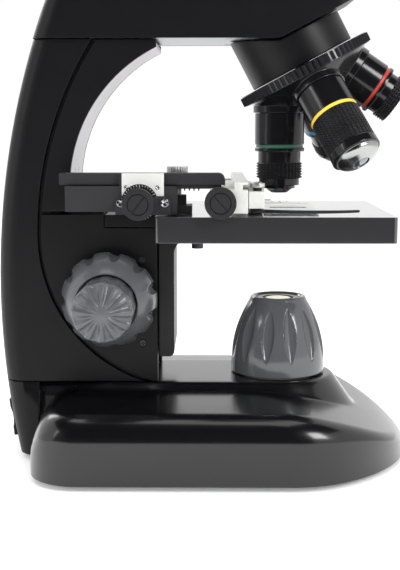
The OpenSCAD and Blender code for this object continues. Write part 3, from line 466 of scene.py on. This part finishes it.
def make_coarse(side):
    face = [(-9.2 + math.sqrt(32.4 ** 2 - (z - 4) ** 2), z) for z in np.linspace(8, 25.4, 40)]
    sweep = np.linspace(-math.pi / 2, -0.02, 12)
    rim = [(12.6 + 10.5 * math.cos(a), 8 + 10.5 * math.sin(a) * 0.76) for a in sweep]
    hollow = [(14.95, 26.0), (14.6, 25.7), (14.5, 24.8), (14.5, 18.2), (5.1, 18.2)]
    v, f = lathe([(5.1, 0.0)] + rim + face + hollow, 396, coarse_bend, closed=True)
    name = "coarse_knob_" + side
    where = knob_place(COARSE_X, side)
    add("v_" + name, v, f, "grey", "coarse", SLOT[name], (name,), where, sharp=30)


def fine_bend(r, z, t):
    """Petals pressed into the domed face, fading at its middle and down the side."""
    u = np.abs(off_phase(t, PETAL_PHASE, PETALS)) / PETAL_HALF
    cut = np.where(u < 1, np.maximum(1 - u * u, 0) ** 1.2, 0)
    if z < 26.6:
        return r - PETAL_SIDE * cut * eased(z, 1.5, 4), np.full(len(t), z)
    deep = eased(r, 2.6, 8.5) * (1 - 0.7 * eased(r, 12.4, 13.8))
    return r - PETAL_SIDE * cut, z - PETAL_TOP * cut * deep


def make_fine(side):
    sweep = np.linspace(math.asin(12.9 / 22), 0.03, 44)
    dome = [(22 * math.sin(a), 10.4 + 22 * math.cos(a)) for a in sweep]
    profile = [(0, 1.0), (3.0, 1.0), (3.1, 0.4), (12.9, 0.4), (13.6, 0.8), (14, 1.5)]
    profile += [(14, z) for z in np.linspace(3, 26.2, 12)] + [(13.85, 27.1), (13.45, 27.75)]
    v, f = lathe(profile + dome + [(0, 32.4)], 432, fine_bend)
    name = "fine_knob_" + side
    where = knob_place(FINE_X, side)
    add("v_" + name, v, f, "grey", "fine", SLOT[name], (name,), where, sharp=30)


for side in ("right", "left"):
    make_coarse(side)
    make_fine(side)


# ---------------------------------------------------------------- objectives


# Height of the nosepiece's centre, the tilt of its axis, the splay of the objectives and their seat's height.
NOSE_Z, NOSE_TILT, SPLAY, SEAT_Z = 216, 208, 28, 44.5
# Columns of pips around a knurled band, and the radii between which an objective's skin lies.
PIPS = 34
SKIN = (9, 14)


def knurl_bend(band):
    """Rows of square pips inside a band of (z from, z to, rows, height)."""
    z0, z1, rows, high = band

    def bend(r, z, t):
        if not z0 < z < z1 or r <= SKIN[0]:
            return plain(r, z, t)
        a = np.abs(t / TAU * PIPS % 1 - 0.5) * 2
        b = np.abs((z - z0) / (z1 - z0) * rows % 1 - 0.5) * 2
        top = np.clip((0.86 - np.maximum(a, b)) / 0.4, 0, 1)
        return r + high * top, np.full(len(t), z)

    return bend


def nose():
    """Place of the turret, whose axis leans forward."""
    return shift(0, 0, NOSE_Z) @ turn(NOSE_TILT, "X")


def seat(angle):
    """Place of an objective on the turret, its own axis down Z."""
    return nose() @ turn(angle, "Z") @ turn(-SPLAY, "X") @ shift(0, 0, SEAT_Z)


def dense(r, z0, z1, step=0.27):
    """A straight length of profile with a point every step millimetres."""
    return [(r, z) for z in np.linspace(z0, z1, max(2, int((z1 - z0) / step)))]


def make_objective(name, angle, profile, band, zones):
    """A turned body; zones of (z from, z to, look, r from, r to) leave black lacquer elsewhere."""
    v, f = lathe(profile, PIPS * 12, knurl_bend(band))
    keys = ["lacquer"] + [zone[2] for zone in zones]

    def pick(c):
        r = math.hypot(c.x, c.y)
        for i, (z0, z1, _, r0, r1) in enumerate(zones):
            if z0 <= c.z <= z1 and r0 <= r <= r1:
                return i + 1
        return 0

    add("v_" + name, v, f, keys, "nosepiece", SLOT[name], (name,), seat(angle), pick, sharp=32)


def tip_lens(z, r):
    """Small domed front lens sunk in its mount."""
    sweep = np.linspace(0, math.pi / 2, 7)[:-1]
    dome = [(r * 0.95 * math.cos(a), z - 0.55 + 0.35 * math.sin(a)) for a in sweep]
    return [(r, z), (r * 0.97, z - 0.25)] + dome + [(0, z - 0.2)]


TOP = [(0, -4.3), (9.7, -4.3), (9.9, -4.1), (9.9, 0.05)]

body = TOP + soft([(10, 0.1), (12.3, 0.1), (12.3, 15.6), (11.75, 15.8), (11.75, 17.2), (12.4, 17.35),
                   (12.4, 19.0), (10.65, 19.1), (10.65, 24.4)], 0.25)
body += dense(10.55, 24.5, 32.4)
body += soft([(10.15, 32.5), (10.15, 35.8), (8.0, 35.95), (8.0, 37.45), (6.3, 37.5),
              (6.1, 38.1), (4.0, 39.65), (2.6, 39.7)], 0.2)
make_objective("objective_20x", 0, body + tip_lens(39.6, 2.4), (24.5, 32.4, 6, 0.9),
               [(15.7, 17.35, "green", *SKIN), (24.5, 32.4, "knurl", *SKIN),
                (37.46, 41, "satin_chrome", 2.45, 9), (37, 42, "coated", 0, 2.45)])

body = TOP + soft([(10, 0.1), (12.3, 0.1), (12.3, 13.8), (11.7, 14), (11.7, 15.4), (11.9, 15.5)], 0.25)
body += dense(11.3, 15.6, 33.2)
body += soft([(11.6, 33.3), (12.3, 33.9), (12.3, 37.6), (11.9, 38.05), (11.0, 38.1), (10.8, 38.2)], 0.3)
body += [(10.8 * math.cos(a), 38.2 + 4.8 * math.sin(a)) for a in np.linspace(0.05, 1.15, 18)]
make_objective("objective_10x", -90, body + tip_lens(42.6, 4.2), (15.6, 33.2, 13, 0.85),
               [(13.9, 15.45, "yellow", *SKIN), (15.6, 33.2, "knurl", *SKIN),
                (38.1, 44, "satin_chrome", 4.25, 10.95), (37, 44, "coated", 0, 4.25)])

body = TOP + soft([(10, 0.1), (12.3, 0.1), (12.3, 15.6), (11.7, 15.8), (11.7, 17.2), (12.4, 17.35),
                   (12.4, 19.0), (10.8, 19.1), (10.8, 26.9)], 0.25)
body += dense(10.55, 27, 32.4)
body += soft([(11.1, 32.5), (11.1, 34.4), (8.8, 36.4), (8.8, 37.9), (6.4, 38.0), (3.0, 41.9), (1.7, 42)], 0.4)
make_objective("objective_40x", 90, body + tip_lens(41.9, 1.5), (27, 32.4, 4, 0.9),
               [(15.7, 17.35, "blue", *SKIN), (27, 32.4, "knurl", *SKIN),
                (37.95, 43, "chrome", 1.55, 7), (38, 43, "coated", 0, 1.55)])

body = TOP + soft([(10, 0.1), (12.3, 0.1), (12.3, 11.8), (11.6, 12), (11.6, 13.4), (12.4, 13.5),
                   (12.4, 15.2), (10.6, 15.3), (10.6, 19.1)], 0.25)
body += dense(10.55, 19.2, 25.5)
body += soft([(9.6, 25.6), (9.2, 26.6), (7.4, 28.9), (6, 29)], 0.2)
make_objective("objective_4x", 180, body + tip_lens(28.8, 5.4), (19.2, 25.5, 5, 0.9),
               [(11.9, 13.45, "red", *SKIN), (19.2, 25.5, "knurl", *SKIN),
                (25.55, 30, "chrome", 5.45, 10), (27, 30, "coated", 0, 5.45)])


# ---------------------------------------------------------------- base

# Outline of the wings: half width, rear corners, the easing into the round nose, and the nose's circle.
HALF_W, CORNER_R, EASE_R, BACK_Y = 78.0, 25.0, 45.0, -120.0
FRONT_C, FRONT_R, SPINE_BACK = -20.0, 85.0, -95.0
# Their top: crown height, its cross curve, and the arc by which it falls from DOME_Y to the front.
CROWN, CROWN_R, DOME_Y, DOME_R = 36.5, 800.0, -25.0, 160.0
# Rounding of the shoulder, of the front's shoulder, and of the rear from REAR_Y back.
SHOULDER, FRONT_SHOULDER, REAR_Y, REAR_R = 12.0, 4.0, -102.0, 18.0
# The flat deck, its half width and the slope of its flanks, which stand upright by the tail.
DECK_Z, DECK_W, DECK_SLOPE, TAIL_SLOPE, TAIL_IN = 40.0, 28.0, 13 / 9, 28, 1.2
SHELL_Z, WALL, TAIL_Y = 2.4, 2.6, -101.0
# Shares of the way in from the outline where the outer surface's first rings lie.
RIM_STEPS = [0, 0.0015, 0.004, 0.008, 0.014, 0.021, 0.03, 0.04, 0.052]


def arc(cx, cy, r, a0, a1, n):
    """Points of an arc, n of them, ends included."""
    return [(cx + r * math.cos(a), cy + r * math.sin(a)) for a in np.linspace(a0, a1, n)]


def wing_plan():
    """Outline of the wings, from the nose round the right side to the back and up the left side."""
    ease_y = FRONT_C + math.sqrt((FRONT_R - EASE_R) ** 2 - (HALF_W - EASE_R) ** 2)
    meet = math.atan2(ease_y - FRONT_C, HALF_W - EASE_R)
    half = arc(0, FRONT_C, FRONT_R, TAU / 4, meet, 60)
    half += arc(HALF_W - EASE_R, ease_y, EASE_R, meet, 0, 34)[1:]
    half += [(HALF_W, y) for y in np.linspace(ease_y, BACK_Y + CORNER_R, 60)[1:]]
    half += arc(HALF_W - CORNER_R, BACK_Y + CORNER_R, CORNER_R, 0, -TAU / 4, 26)[1:]
    half += [(x, BACK_Y) for x in np.linspace(HALF_W - CORNER_R, 0, 36)[1:]]
    return np.array(half + [(-x, y) for x, y in half[-2:0:-1]])


def base_height(x, y, d):
    """Height of the wings and the deck over a point d inside the outline."""
    fall = DOME_R - np.sqrt(DOME_R ** 2 - np.maximum(y - DOME_Y, 0) ** 2)
    back = REAR_R - np.sqrt(REAR_R ** 2 - np.clip(REAR_Y - y, 0, REAR_R) ** 2)
    side = x * x / (2 * CROWN_R)
    wing = CROWN - back - (fall + side + np.hypot(fall - side, 1.0) - 1.0) / 2
    most = SHOULDER - (SHOULDER - FRONT_SHOULDER) * eased(y, 5, 50)
    r = np.minimum(np.clip((wing - SHELL_Z) * 0.75, 1, SHOULDER), most)
    wing = wing - (r - np.sqrt(r * r - np.clip(r - d, 0, r) ** 2))
    out = np.where(y > 0, np.hypot(x, y), np.abs(x)) - DECK_W + TAIL_IN * eased(-y, 100, 104)
    steep = DECK_SLOPE + TAIL_SLOPE * eased(-y, 84, 100)
    deck = DECK_Z - steep * (out + np.hypot(out, 1.0)) / 2
    return (wing + deck + np.hypot(wing - deck, 0.9)) / 2


def base_rings(outline, spine, inset, steps):
    """Rings of points from the outline in to the spine, on the surface and inset below it."""
    reach = np.linalg.norm(spine - outline, axis=1)
    rings = []
    for step in steps:
        share = (inset + (reach - inset) * step) / reach
        at = outline + (spine - outline) * share[:, None]
        d = np.array([np.min(np.hypot(*(outline - q).T)) for q in at])
        z = np.maximum(base_height(at[:, 0], at[:, 1], d) - inset, SHELL_Z + 0.1)
        rings.append(np.column_stack([at, z]))
    floor_ring = rings[0].copy()
    floor_ring[:, 2] = SHELL_Z
    return [floor_ring] + rings


def band_faces(first, rings, n):
    """Faces of a stack of rings of n points, closed over the last ring."""
    faces = []
    for k in range(first, first + rings - 1):
        for j in range(n):
            j1 = (j + 1) % n
            faces.append((k * n + j, k * n + j1, (k + 1) * n + j1, (k + 1) * n + j))
    last = (first + rings - 1) * n
    return faces + [tuple(range(last, last + n))]


def tail_mesh():
    """The CAD base's narrow tail, cut off behind the wings and closed."""
    tail = bmesh.new()
    tail.from_mesh(NODES["base_shell"].data)
    side = DECK_W + 0.05
    cuts = [((0, TAIL_Y + OPTIC_Y, 0), (0, 1, 0)), ((side, 0, 0), (1, 0, 0)), ((-side, 0, 0), (-1, 0, 0))]
    for at, way in cuts:
        bmesh.ops.bisect_plane(tail, geom=tail.verts[:] + tail.edges[:] + tail.faces[:], dist=1e-7,
                               plane_co=Vector(at) / 1000, plane_no=way, clear_outer=True)
    bmesh.ops.remove_doubles(tail, verts=tail.verts, dist=SAME)
    bmesh.ops.holes_fill(tail, edges=[e for e in tail.edges if len(e.link_faces) == 1], sides=0)
    for face in tail.faces:
        face.material_index = 1
    return tail


def make_base():
    """A hollow shell of wings and deck from one height field, and the CAD's tail behind it."""
    outline = wing_plan()
    spine = np.column_stack([np.zeros(len(outline)), np.clip(outline[:, 1], SPINE_BACK, FRONT_C)])
    outer = base_rings(outline, spine, 0, RIM_STEPS + list(np.linspace(0.064, 0.98, 112)))
    inner = base_rings(outline, spine, WALL, np.linspace(0, 0.97, 24))
    verts = np.concatenate(outer + inner)
    n = len(outline)
    rim = len(outer) * n
    faces = band_faces(0, len(outer), n) + band_faces(len(outer), len(inner), n)
    faces += [(j, rim + j, rim + (j + 1) % n, (j + 1) % n) for j in range(n)]
    looks = ["base_black", "arm_black"]
    piece = add("v_base_shell", verts, faces, looks, "frame", SLOT["base_shell"], ("base_shell",), sharp=40)
    tail = tail_mesh()
    tail.from_mesh(piece.data)
    tail.to_mesh(piece.data)
    tail.free()
    piece.data.shade_smooth()
    piece.data.set_sharp_from_angle(angle=math.radians(40))


make_base()

# ---------------------------------------------------------------- the other parts

dress("rear_shell", "arm_black", 0.45)
dress("arm_cover_right", "arm_black", 0.45)
dress("arm_cover_left", "arm_black", 0.45)
dress("focus_cover_right", "arm_black", 0.4)
dress("focus_cover_left", "arm_black", 0.4)
dress("column_cap", "arm_black", 0.4)
dress("front_strip", "strip", 0.3)
dress("head_shell", "arm_black", 0.7, segments=3)
dress("swivel_collar", "arm_black", 0.4)
dress("screen_back", "arm_black", 0.5, segments=3)
dress("screen_bezel", "dark", 0.4)
dress("screen_glass", "panel", 0.1)
dress("screen_button", "grey", 0.3)
dress("bottom_plate", "steel", 0.15)
dress("rubber_feet", "rubber", 0.4)
dress("bottom_screws", "steel", 0.15)
dress("led_board", "lamp", 0.1)
dress("lamp_lens", "clear", 0.0)
dress("power_switch", "dark", 0.4)
dress("dimmer_wheel", "grey", 0.2)
dress("dc_inlet", "dark", 0.2)
dress("driver_board", "board", 0.1)
dress("arm_frame", "cast_metal", 0.3)
dress("cover_screws", "dark_screw", 0.12)
dress("guide_rails", "fine_silver", 0.2)
dress("shaft_bushes", "brass", 0.15)
dress("coarse_shaft", "fine_silver", 0.0)
dress("fine_shaft", "fine_silver", 0.2)
dress("lift_block", "cast_metal", 0.0)
dress("stage_carrier", "carrier_black", 0.4)
dress("stage_plate", "plate_black", 0.35)
dress("stage_screws", "dark_screw", 0.15)
dress("condenser_lens", "clear", 0.0)
dress("diaphragm_disc", "dark", 0.12)
dress("slide_guide", "cast_black", 0.35)
dress("guide_plate", "silver", 0.15)
dress("guide_screws", "chrome", 0.08)
dress("clamp_screw", "fine_silver", 0.12)
dress("cross_bar", "cast_black", 0.35)
dress("cross_knob", "knob_black", 0.12)
dress("long_knob", "knob_black", 0.12)
dress("long_rail", "silver", 0.2)
dress("slide_carriage", "silver", 0.2)
dress("spring_finger", ["cast_black", "fine_silver"], 0.15, pick=lambda c, n: 1 if c.z > 136.5 else 0)
dress("specimen_slide", "clear", 0.05)
dress("nose_mount", "arm_black", 0.4)
dress("turret", "lacquer", 0.25)
dress("head_floor", "steel", 0.2)
dress("camera_module", "board", 0.2)


# ---------------------------------------------------------------- small detail


def ribbed(r0, r1, z0, z1, count):
    """Closed ring with rounded ribs on its outer face."""
    def bend(r, z, t):
        if r < r0 + 0.4:
            return plain(r, z, t)
        return r - (r1 - r0 - 0.5) * 0.5 * (1 - np.cos(t * count)), np.full(len(t), z)
    profile = [(r0, z0), (r0, z1), (r1 - 0.3, z1), (r1, z1 - 0.3), (r1, z0 + 0.3), (r1 - 0.3, z0)]
    return lathe(profile, count * 8, bend, closed=True)


v, f = ribbed(33.4, 35.2, 24.2, 28.6, 72)
add("turret_grip", v, f, "rubber", "nosepiece", SLOT["turret"], (), nose())
v, f = ribbed(27.2, 28.5, 112.4, 114.6, 90)
add("disc_grip", v, f, "dark", "disc", SLOT["diaphragm_disc"], (), shift(0, 20, 0))

washer = [(1.7, 109.25), (3.6, 109.25), (3.8, 109.45), (3.8, 109.9), (3.6, 110.05), (1.7, 110.05)]
for side, sign in (("right", 1), ("left", -1)):
    v, f = lathe(washer, 64, closed=True)
    at = shift(sign * 16, -41, 0)
    add("stage_washer_" + side, v, f, "fine_silver", "stage", SLOT["guide_screws"], (), at)

# Half the width of a printed line and how much its corners are rounded.
TICK, PRINT_R = 0.09, 0.01


def tick_length(i, tenth, fifth, single):
    """Length of the tick i of a scale that marks every fifth and tenth one."""
    if i % 10 == 0:
        return tenth
    return fifth if i % 5 == 0 else single


ticks = []
for i in range(61):
    y = -102.0 + i
    x = 43.6 - tick_length(i, 2.6, 1.9, 1.3)
    ticks.append(box((x, y - TICK, 143.37), (43.6, y + TICK, 143.43), PRINT_R))
v, f = joined(ticks)
add("bar_scale", v, f, "white", "cross", SLOT["cross_bar"])
ticks = []
for i in range(71):
    x = -35.0 + i
    top = 133.6 + tick_length(i, 2.6, 2.0, 1.4)
    ticks.append(box((x - TICK, -17.24, 133.6), (x + TICK, -17.17, top), PRINT_R))
v, f = joined(ticks)
add("rail_scale", v, f, "dark", "cross", SLOT["long_rail"])

dial = [(7.9, 0), (8.4, 0.15), (8.4, 0.85), (7.9, 1.0), (3.2, 1.0), (3.2, 0)]
v, f = lathe(dial, 96, closed=True)
dial_at = shift(47.1, -67.6, 129.9) @ turn(90, "Y")
add("knob_dial", v, f, "dark", "stage", SLOT["slide_guide"], (), dial_at)
ticks = []
for i in range(36):
    v, f = box((7.5 if i % 6 else 7.1, -0.1, 0.98), (8.2, 0.1, 1.04), PRINT_R)
    spin = turn(i * 10, "Z")
    ticks.append(([spin @ Vector(q) for q in v], f))
v, f = joined(ticks)
add("dial_marks", v, f, "white", "stage", SLOT["slide_guide"], (), dial_at)

v, f = box((-38.8, -8.7, 124.86), (-20.5, 16.5, 124.99), 0.03)
add("slide_label", v, f, "label", "carriage", SLOT["specimen_slide"])
lines = []
for k, long in enumerate((13, 9, 14, 6)):
    y = -6.0 + 4 * k
    lines.append(box((-36.5, y, 124.97), (-36.3 + long, y + 0.4, 125.0), PRINT_R))
v, f = joined(lines)
add("label_lines", v, f, "dark", "carriage", SLOT["specimen_slide"])
# The smear under the cover glass: an uneven outline, narrowed a little at its top.
low = []
for a in np.linspace(0, TAU, 72, endpoint=False):
    r = 6.2 + 0.9 * math.sin(3 * a) + 0.5 * math.sin(7 * a + 1)
    low.append((r * math.cos(a), 4 + r * 0.8 * math.sin(a), 124.9))
high = [(0.96 * x, 4 + 0.96 * (y - 4), 125.0) for x, y, _ in low]
n = len(low)
faces = [(i, (i + 1) % n, n + (i + 1) % n, n + i) for i in range(n)]
faces += [tuple(range(n)), tuple(range(n, 2 * n))]
add("specimen", low + high, faces, "stain", "carriage", SLOT["specimen_slide"])


# ---------------------------------------------------------------- light, floor and camera


def area(name, where, aim, size, power):
    """White studio panel aimed at a point, in metres and watts."""
    data = bpy.data.lights.new(name, "AREA")
    data.shape = "RECTANGLE"
    data.size, data.size_y = size
    data.energy = power
    lamp = bpy.data.objects.new(name, data)
    bpy.context.scene.collection.objects.link(lamp)
    lamp.location = where
    lamp.rotation_euler = (Vector(aim) - Vector(where)).to_track_quat("-Z", "Y").to_euler()
    return lamp


area("key", (0.95, 0.95, 0.9), (0, 0.02, 0.12), (0.5, 0.6), 13)
area("top", (-0.15, 0.1, 1.15), (0, 0, 0.1), (0.7, 0.9), 4)
area("back", (-1.2, -0.8, 0.9), (0, 0, 0.12), (0.8, 0.8), 8)
area("side", (0.75, -1.15, 0.45), (0, 0, 0.12), (0.3, 0.8), 5)
area("front", (1.3, -0.15, 0.35), (0, 0, 0.1), (0.6, 0.6), 9).visible_glossy = False


CARD = material("card_black", "#101012", 0.9, spec=0.1, grain=(40, 0.1))


def flag(name, corners):
    """Black studio card that only darkens reflections."""
    mesh = bpy.data.meshes.new(name)
    mesh.from_pydata(corners, [], [(0, 1, 2, 3)])
    mesh.materials.append(CARD)
    card = bpy.data.objects.new(name, mesh)
    bpy.context.scene.collection.objects.link(card)
    for kind in ("camera", "diffuse", "transmission", "volume_scatter", "shadow"):
        setattr(card, "visible_" + kind, False)


flag("flag_front", [(0.66, -1.3, -0.02), (0.66, 0.42, -0.02), (0.66, 0.42, 0.75), (0.66, -1.3, 0.75)])
flag("flag_top", [(-0.5, -1.6, 1.4), (1.6, -1.6, 1.4), (1.6, 1.6, 1.4), (-0.5, 1.6, 1.4)])

# The floor is a round sheet just under the feet.
FLOOR_R, FLOOR_Z = 8, -0.0003
floor_mesh = bpy.data.meshes.new("floor")
sweep = np.linspace(0, TAU, 72, endpoint=False)
ring = [(FLOOR_R * math.cos(a), FLOOR_R * math.sin(a), FLOOR_Z) for a in sweep]
floor_mesh.from_pydata(ring, [], [tuple(range(len(ring)))])
floor = bpy.data.objects.new("floor", floor_mesh)
floor_mesh.materials.append(material("floor_white", "#fafafa", 0.7, spec=0.1, grain=(200, 0.02),
                                     vary=0.05, mottle=0.004, glow=0.1))
bpy.context.scene.collection.objects.link(floor)

world = bpy.data.worlds.new("studio")
world.use_nodes = True
world.node_tree.nodes["Background"].inputs["Color"].default_value = (1, 1, 1, 1)
world.node_tree.nodes["Background"].inputs["Strength"].default_value = 1.0
world.cycles.sampling_method = "NONE"
bpy.context.scene.world = world
bpy.context.scene.view_settings.view_transform = "Standard"

# The photograph's camera, fitted to the stage, the hood and the objective; the focal length is in pixels.
FOCAL, PICTURE_H, SENSOR = 1148.58, 570, 36
camera_data = bpy.data.cameras.new("camera")
camera_data.lens = FOCAL / PICTURE_H * SENSOR
camera_data.clip_start, camera_data.clip_end = 0.02, 20
camera = bpy.data.objects.new("camera", camera_data)
bpy.context.scene.collection.objects.link(camera)
camera.location = (0.58227, 0.00277, 0.16796)
look = Vector((-0.98980, -0.00985, -0.14211)).normalized()
right = Vector((-0.00995, 0.99995, 0)).normalized()
up = right.cross(look).normalized()
camera.rotation_mode = "QUATERNION"
camera.rotation_quaternion = Matrix((right, up, -look)).transposed().to_quaternion()
bpy.context.scene.camera = camera
